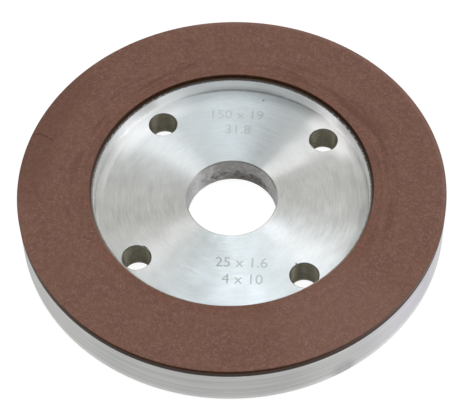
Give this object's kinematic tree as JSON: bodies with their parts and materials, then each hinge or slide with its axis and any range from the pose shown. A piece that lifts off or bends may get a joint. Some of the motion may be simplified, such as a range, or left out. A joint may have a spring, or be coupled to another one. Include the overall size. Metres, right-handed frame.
{
  "type": "diamond cup wheel",
  "caption": "Flat cup-shaped grinding wheel: a turned aluminium wheel with a resin-bonded diamond ring round its face, a shallow well, a plain bore and drilled bolt holes.",
  "frame": {"origin": "centre of the flat back face", "axes": "+Z along the bore, out of the grinding face; +X through one bolt hole"},
  "size_m": [0.15, 0.15, 0.0191],
  "materials": {
    "turned_aluminium": "bright turned, fine concentric tool lines",
    "resin_backing": "matt dark resin",
    "diamond_layer": "matt brown resin with fine diamond grit"
  },
  "bodies": {
    "root": {"wheel_body": "turned_aluminium", "backing_ring": "resin_backing", "abrasive_ring": "diamond_layer"}
  },
  "joints": []
}
